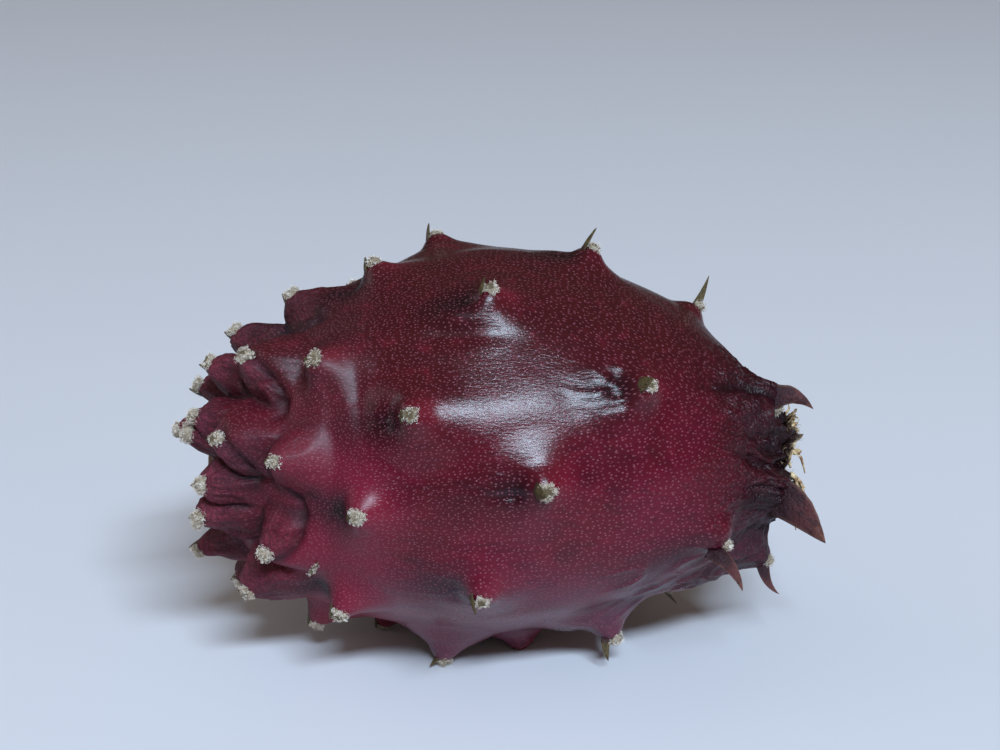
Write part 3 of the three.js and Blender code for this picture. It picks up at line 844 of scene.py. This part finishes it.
def build_flower():
    """The dried flower's base: crumpled lobes whose torn edges stand over the pit."""
    sides = 150
    turn = np.linspace(0, 2 * math.pi, sides, endpoint=False)
    around = np.stack([6 * np.cos(turn), 6 * np.sin(turn), 0 * turn], -1)
    torn = 1.5 * noise(around, 3.2, 31) + 0.5 * noise(around, 1.1, 32)
    torn = torn + 1.6 * np.maximum(0, noise(around, 0.8, 36)) ** 1.5 - 0.6
    points = []
    for x, radius, ragged in FLOWER_RINGS:
        points.append(around_axis(RIM_X + x + 0.9 * ragged * torn - 0.9 * ragged,
                                  radius + 0.7 * ragged * noise(around, 2.4, 33), turn))
    points = np.concatenate(points)
    crumpled = ridges(points, 3, 34) - 0.5 + 0.7 * (ridges(points, 1.2, 35) - 0.5)
    points = points + 0.7 * crumpled[:, None] * np.array([0.8, 0.5, 0.5])
    t = np.repeat(np.linspace(0, 1, len(FLOWER_RINGS)), sides)
    bare = 1 - 0.9 * step(0.25, 0.5, t) * (1 - step(0.75, 0.9, t))
    faces = tube_faces(len(FLOWER_RINGS), sides)
    return join_shapes("dried_flower", [(points, faces, {"inwards": t, "bare": bare})])


def shred(seed):
    """A thin torn strip of the dried flower, curling off its rim."""
    rng = np.random.default_rng(seed)
    turn = rng.uniform(0, 2 * math.pi) if seed % 4 else rng.uniform(-1.7, -0.8)
    t = np.linspace(0, 1, 9)
    root = around_axis(RIM_X + rng.uniform(1, 2.8), 7.2, turn)
    out = around_axis(0, 1, turn) - around_axis(0, 0, turn)
    bend = root + out * rng.uniform(0.2, 1.4) + np.array([rng.uniform(0.6, 1.6), 0, 0])
    tip = bend + rng.normal(0, 1, 3) * (0.3, 1.1, 1.1) + np.array([0.2, 0, -0.6])
    spine = bezier(root, bend, tip, t)
    tangent = unit(np.gradient(spine, axis=0))
    side = unit(np.cross(tangent, out) + 0.5 * rng.normal(0, 1, 3))
    flat = unit(np.cross(tangent, side))
    half = (rng.uniform(0.22, 0.6) * (1 - 0.7 * t ** 2))[:, None]
    rings = np.stack([spine + half * side, spine + 0.05 * flat, spine - half * side,
                      spine - 0.05 * flat], 1).reshape(-1, 3)
    rings = rings + 0.25 * noise(rings, 0.7, seed)[:, None] * flat.repeat(4, 0)
    return rings, tube_faces(9, 4), {}


def build_shreds():
    return join_shapes("dried_flower_shreds", [shred(200 + k) for k in range(SHREDS)])


# ---- materials ---------------------------------------------------------------------------
def linear(red, green, blue):
    """A colour given as it shows, 0 to 255, as the light a material takes."""
    return tuple(((v / 255 + 0.055) / 1.055) ** 2.4 if v > 10 else v / 3294.6
                 for v in (red, green, blue)) + (1,)


class Paint(Nodes):
    """A material whose colour is laid on in layers over a Principled surface."""

    def __init__(self, name):
        self.material = bpy.data.materials.new(name)
        self.material.use_nodes = True
        super().__init__(self.material.node_tree)
        self.tree.nodes.clear()
        self.place = self.vector("MULTIPLY", self.node("ShaderNodeTexCoord").outputs["Object"],
                                 (1 / MM,) * 3)

    def vector(self, operation, a, b):
        sockets = {0: a, 1: b}
        return self.node("ShaderNodeVectorMath", {"operation": operation}, sockets).outputs[0]

    def streaked(self, share):
        """Places in millimetres, drawn out along the fruit: share is how far they move on."""
        return self.vector("MULTIPLY", self.place, (share, 1, 1))

    def axes(self):
        """Distance along X, Y and Z in millimetres."""
        parts = self.node("ShaderNodeSeparateXYZ", None, {0: self.place})
        return [Signal(self, parts.outputs[k]) for k in range(3)]

    def noise(self, size, detail=3.0, rough=0.5, vector=None):
        """Noise about 0.5, with lumps about size millimetres across."""
        sockets = {"Vector": vector or self.place, "Scale": 1 / size, "Detail": detail,
                   "Roughness": rough}
        return Signal(self, self.node("ShaderNodeTexNoise", None, sockets).outputs["Fac"])

    def attribute(self, name, output="Fac"):
        settings = {"attribute_type": "GEOMETRY", "attribute_name": name}
        return self.node("ShaderNodeAttribute", settings).outputs[output]

    def value_of(self, name):
        return Signal(self, self.attribute(name))

    def base(self, mask, low, high):
        """The first colour: low where the mask is 0, high where it is 1."""
        self.colour = self.blend(mask, linear(*low), linear(*high))

    def layer(self, mask, red, green, blue):
        """A colour laid over the others, as far as the mask is up."""
        self.colour = self.blend(mask, self.colour, linear(red, green, blue))

    def bump(self, height, depth=1.0):
        """Relief of the given depth in millimetres."""
        sockets = {"Height": height, "Distance": depth * MM, "Strength": 1.0}
        return self.node("ShaderNodeBump", None, sockets).outputs[0]

    def finish(self, roughness, normal=None, **fixed):
        sockets = {"Base Color": self.colour, "Roughness": self.held(roughness)}
        sockets.update({key.replace("_", " "): value for key, value in fixed.items()})
        if normal:
            sockets["Normal"] = normal
        surface = self.node("ShaderNodeBsdfPrincipled", None, sockets)
        self.node("ShaderNodeOutputMaterial", None, {"Surface": surface.outputs[0]})
        return self.material


def pale_dots(m):
    """The rind's fine dots, some stronger than others."""
    flat = m.node("ShaderNodeUVMap", {"uv_map": "speckle_map"}).outputs[0]
    cells = m.node("ShaderNodeTexVoronoi", {"voronoi_dimensions": "2D"},
                   {"Vector": flat, "Scale": 1.0, "Randomness": 0.88})
    tint = m.node("ShaderNodeSeparateColor", None, {0: cells.outputs["Color"]})
    strength = Signal(m, tint.outputs[0]) * 0.6 + 0.4
    return m.rise(Signal(m, cells.outputs["Distance"]), 0.27, 0.06) * strength


def rind_material():
    m = Paint("rind")
    crease, crowd, hollow, rise, flush_and_light, wax_and_sheen_, fold, aged, own = (m.value_of(name) for name in (
        "crease", "crowd", "hollow", "rise", "flush_and_light", "wax_and_sheen", "fold", "aged", "own"))
    x, _, z = m.axes()
    patches = m.noise(15, 2)
    blotches = m.noise(9, 2, 0.5, m.vector("ADD", m.place, (40, 0, 0)))
    streaks = m.noise(1.1, 4, 0.6, m.streaked(0.14))
    mottle = m.noise(2.6, 4, 0.6)
    crest = crowd * m.rise(rise, 0.8, 2.6)
    left = m.rise(x, -10, -20) * m.rise(x, -42, -30) * m.rise(z, 52, 34)
    m.base(m.rise(patches, 0.36, 0.62), (84, 6, 24), (90, 6, 32))
    m.layer(m.rise(blotches, 0.5, 0.68) * 0.4, 46, 4, 16)
    # Painted shade and reflection: the upper side is made darker and browner.
    m.layer(m.rise(z, 34, 58) * 0.85, 52, 10, 13)
    m.layer(m.rise(streaks, 0.42, 0.72) * 0.4, 40, 4, 15)
    m.layer(m.rise(mottle, 0.5, 0.75) * 0.3, 112, 20, 40)
    m.layer(left * 0.55, 118, 18, 46)
    m.layer(crowd * m.rise(x, -24, -36) * 0.5, 56, 8, 20)
    m.layer(crest * 0.3, 112, 22, 42)
    m.layer(crowd * m.rise(rise, 3.4, 5.2) * 0.35, 140, 48, 66)
    # A reddish flush, partly a painted lit face, on the flower side of the podaria.
    m.layer(flush_and_light * 0.4, 128, 30, 46)
    # Painted shade: the low places between crowded podaria, the creases, the hollows and the patch
    # behind each scale are darkened; the aged flower end is darkened as well.
    low = m.rise(rise, 1.7, 0.1) * crowd
    shade = m.value_of("shade") * (patches * 0.7 + 0.6)
    dark = m.held(low * 0.85 + crease * crowd * 0.9 + hollow * 0.3 + shade * 0.8 + aged * 0.5)
    m.layer(dark, 24, 4, 11)
    # Painted shade deep in the folds, grooves and furrows.
    m.layer(m.held(fold * 0.9), 20, 3, 8)
    # Pale wax with a painted lavender sheen on the crowded crests and the belly.
    m.layer(m.held(wax_and_sheen_ * 0.4), 116, 80, 104)

    dots = pale_dots(m)
    shown = 1 - low - fold - crease * crowd * 0.8 - crest * 0.75 - aged * 0.35
    m.layer(dots * m.held(shown) * 0.6, 150, 86, 100)
    scar = m.blend(mottle, linear(120, 92, 66), linear(70, 50, 38))
    m.colour = m.blend(m.value_of("scar"), m.colour, scar)
    m.layer(m.value_of("pit"), 60, 34, 26)

    flank = m.noise(0.12, 3, 0.6, m.attribute("flank", "Vector"))
    crepe = m.held(m.math("ABSOLUTE", m.noise(1.3, 3, 0.6) - 0.5) * 6)
    puckers = m.noise(0.08, 3, 0.6, m.attribute("rays", "Vector"))
    # Painted shade in the sunken lines of the flank wrinkles, the crepe and the puckers, where the
    # relief below is lowest.
    m.layer(m.rise(flank, 0.5, 0.7) * crowd * own * 0.4, 30, 5, 13)
    m.layer(m.rise(crepe, 0.45, 0.05) * m.held(crest + aged) * 0.5, 30, 5, 13)
    m.layer(m.rise(puckers, 0.52, 0.68) * aged * 0.6, 22, 3, 9)

    # The skin's own shine carries the streaks, because relief doesn't reach the coat of wax.
    rough = 0.18 + mottle * 0.1 + m.rise(x, -14, -24) * 0.28
    rough = rough + low * 0.25 + wax_and_sheen_ * 0.15 + crest * 0.12 + aged * 0.16
    lines = m.noise(0.28, 3, 0.6, m.streaked(0.2))
    relief = lines * 0.048 + m.noise(0.4, 3, 0.5) * 0.012 + dots * 0.012
    relief = relief - flank * crowd * own * m.rise(rise, 0.2, 1.2) * 0.25
    relief = relief + crepe * m.held(crest + aged * 0.8) * 0.16 - puckers * aged * 0.4
    return m.finish(rough, m.bump(relief), Coat_Weight=m.held(0.05 - dark * 0.05 - fold * 0.05),
                    Coat_Roughness=0.27, Specular_IOR_Level=0.26)


def scale_material():
    m = Paint("scale_leaf")
    along = m.value_of("length_way")
    grain = m.noise(0.5, 4, 0.6)
    edge = m.rise(m.value_of("across"), 0.75, 1.0)
    m.base(m.rise(along, 0.15, 0.6), (40, 8, 18), (82, 38, 40))
    m.layer(m.rise(along, 0.6, 1.0), 106, 64, 52)
    m.layer(m.rise(m.noise(2.2, 3, 0.6), 0.46, 0.6) * 0.75, 42, 12, 20)
    m.layer(edge * 0.5, 128, 92, 76)
    olive = m.blend(m.rise(grain, 0.3, 0.7), linear(62, 50, 28), linear(98, 82, 48))
    m.colour = m.blend(m.value_of("leafy"), olive, m.colour)
    m.layer(m.rise(along, 0.4, 0.05) * 0.85, 44, 8, 18)
    normal = m.bump(m.noise(0.35, 4, 0.65) + m.noise(1.2, 3, 0.6) * 2, 0.25)
    return m.finish(0.42 + grain * 0.25, normal, Specular_IOR_Level=0.35)


def wool_material():
    m = Paint("areole_wool")
    tone = m.noise(1.3, 3)
    fibre = m.noise(0.2, 4, 0.7)
    m.base(m.rise(tone, 0.35, 0.7), (186, 170, 148), (142, 122, 98))
    m.layer(m.rise(fibre, 0.45, 0.7) * 0.6, 92, 72, 50)
    m.layer(m.value_of("bare"), 96, 80, 54)
    return m.finish(0.8 + tone * 0.15, m.bump(fibre, 0.35))


def fibre_material(name, pale, dark):
    m = Paint(name)
    tone = m.noise(0.9, 3)
    m.base(m.rise(tone, 0.3, 0.7), pale, dark)
    return m.finish(0.7 + tone * 0.2)


def flower_material():
    m = Paint("dried_flower")
    grain = m.noise(0.5, 4, 0.65, m.streaked(0.3))
    inwards = m.value_of("inwards")
    edge = m.rise(inwards, 0.42, 0.55) * m.rise(inwards, 0.8, 0.62)
    straw = m.blend(m.rise(grain, 0.35, 0.65), linear(206, 178, 134), linear(96, 64, 42))
    shown = m.held(edge * 1.3 + m.rise(m.noise(2, 3, 0.6), 0.45, 0.62) * 0.9 - 0.6)
    m.base(m.rise(grain, 0.4, 0.65), (22, 7, 10), (58, 30, 24))
    m.colour = m.blend(shown, m.colour, straw)
    return m.finish(0.36 + shown * 0.4 + grain * 0.12, m.bump(grain, 0.5))


def floor_material():
    m = Paint("pale_floor")
    cloud = m.noise(160, 2)
    m.base(cloud, (216, 214, 219), (208, 207, 213))
    return m.finish(0.36 + cloud * 0.08)


# ---- stage, light and camera -------------------------------------------------------------
FLOOR_HALF = 2.2  # metres
LIGHT_TARGET = (0, 0, 0.035)
CAMERA_PLACE, CAMERA_TILT, CAMERA_LENS = (0.001227, -0.272955, 0.143723), 70 * DEG, 65.5


def build_stage():
    mesh = bpy.data.meshes.new("floor")
    corners = [(FLOOR_HALF * x, FLOOR_HALF * y, 0) for x, y in ((-1, -1), (1, -1), (1, 1), (-1, 1))]
    mesh.from_pydata(corners, [], [(0, 1, 2, 3)])
    mesh.materials.append(floor_material())
    show("floor", mesh)


def add_light(name, azimuth, elevation, distance, size, power, colour):
    """A soft panel that faces the fruit from a direction: azimuth 0 is -Y, 90 is +X."""
    data = bpy.data.lights.new(name, "AREA")
    data.shape, data.size, data.size_y = "RECTANGLE", size[0], size[1]
    data.energy, data.color = power, colour
    a, e = azimuth * DEG, elevation * DEG
    way = Vector((math.sin(a) * math.cos(e), -math.cos(a) * math.cos(e), math.sin(e)))
    light = show(name, data)
    light.location = Vector(LIGHT_TARGET) + way * distance
    light.rotation_euler = (-way).to_track_quat("-Z", "Y").to_euler()


def build_room():
    """A dim room, whose top and front give more light than what lies behind."""
    world = bpy.data.worlds.new("room")
    world.use_nodes = True
    room = Nodes(world.node_tree)
    way = room.node("ShaderNodeTexCoord").outputs["Generated"]
    facing = room.node("ShaderNodeVectorMath", {"operation": "DOT_PRODUCT"},
                       {0: way, 1: (0.1, -0.45, 0.88)})
    front = room.rise(facing.outputs["Value"], -0.25, 0.95)
    shade = room.blend(front, (0.08, 0.066, 0.055, 1), (0.27, 0.24, 0.2, 1))
    room.tree.links.new(shade, room.tree.nodes["Background"].inputs["Color"])
    bpy.context.scene.world = world
    bpy.context.scene.view_settings.view_transform = "Standard"


def build_camera():
    data = bpy.data.cameras.new("camera")
    data.lens, data.sensor_width, data.clip_end = CAMERA_LENS, 36, 20
    camera = show("camera", data)
    camera.location = CAMERA_PLACE
    camera.rotation_euler = (CAMERA_TILT, 0, 0)
    bpy.context.scene.camera = camera


# ---- the whole ---------------------------------------------------------------------------
build_stage()
add_light("window", 17, 46.5, 2.4, (1.25, 0.33), 86, (0.65, 0.82, 1))
add_light("wall", -98, 27, 2.4, (2, 1.4), 10, (0.95, 0.96, 1))
build_room()
build_camera()

skin = build_rind()
skin.data.materials.append(rind_material())
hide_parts("fruit")

scales = build_scales()
scales.data.materials.append(scale_material())

growth = fibre_growth()
wool_curls = [curl(f"wool_curl_{k}", k, 0.9 + 0.25 * k, 0.17 + 0.04 * k, 0.52, 0.045)
              for k in range(4)]
pad_paint = wool_material()
wool_paint = fibre_material("wool_fibre", (250, 240, 228), (200, 182, 160))
woolly = []
for group, wanted in (("crowded", lambda p: p.n < WOOL_SPLIT),
                      ("apart", lambda p: p.n >= WOOL_SPLIT)):
    pads = build_cushions("areole_pads_" + group, wanted)
    pads.data.materials.append(pad_paint)
    wool = grow("areole_wool_" + group, pads, wool_curls, wool_paint, growth, WOOL_DENSITY, 1.1,
                (0.55, 1.2), 3)
    woolly += [pads, wool]

flower = build_flower()
flower.data.materials.append(flower_material())
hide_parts("flower_remnant")
straw_paint = fibre_material("straw_fibre", (222, 196, 152), (126, 88, 56))
shreds = build_shreds()
shreds.data.materials.append(straw_paint)
straw_curls = [curl(f"straw_{k}", 20 + k, 0.5 + 0.1 * k, 0.5, 1.5, 0.04) for k in range(3)]
straw = grow("dried_flower_fibres", flower, straw_curls, straw_paint, growth, STRAW_DENSITY, 1.2,
             (0.4, 1.0), 8)
for shape in wool_curls + straw_curls:
    bpy.data.objects.remove(shape)

dressed = {"rind": [skin], "scale_leaf": [scales], "dried_flower": [flower, straw, shreds],
           "areole_wool": woolly}
for part, pieces in dressed.items():
    for piece in pieces:
        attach(piece, "root")
